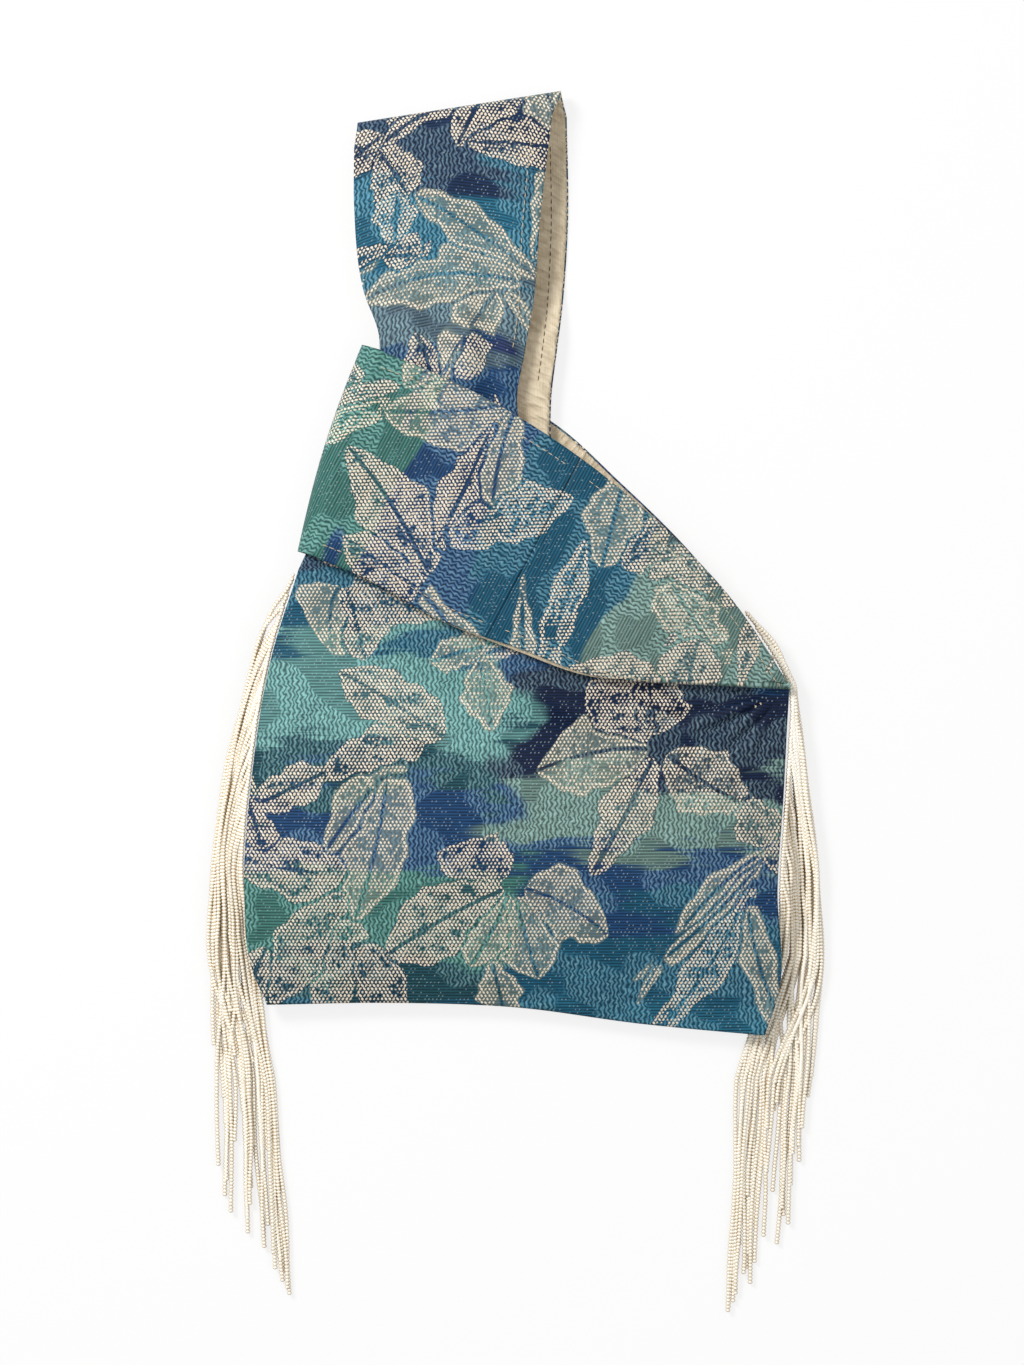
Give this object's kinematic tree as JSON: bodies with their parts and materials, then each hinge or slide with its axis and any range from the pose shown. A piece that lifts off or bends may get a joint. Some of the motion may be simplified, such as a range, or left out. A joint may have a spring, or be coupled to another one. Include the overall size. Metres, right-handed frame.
{
  "type": "knot bag",
  "caption": "Small lined cloth evening bag whose long handle loop is pulled through its wide short loop, with bead fringes on both side seams, lying on its back.",
  "frame": {"origin": "middle of the pouch's back, on the surface the bag lies on", "axes": "+Z out of the front, +Y up the bag towards the handles, +X to the right seen from the front"},
  "size_m": [0.271, 0.5521, 0.0274],
  "materials": {
    "jacquard": "matte",
    "lining_satin": "satin",
    "ivory_beads": "gloss"
  },
  "bodies": {
    "root": {"outer_front_panel": "jacquard", "outer_back_panel": "jacquard", "lining_front_panel": "lining_satin", "lining_back_panel": "lining_satin", "left_bead_fringe": "ivory_beads", "right_bead_fringe": "ivory_beads"}
  },
  "joints": []
}
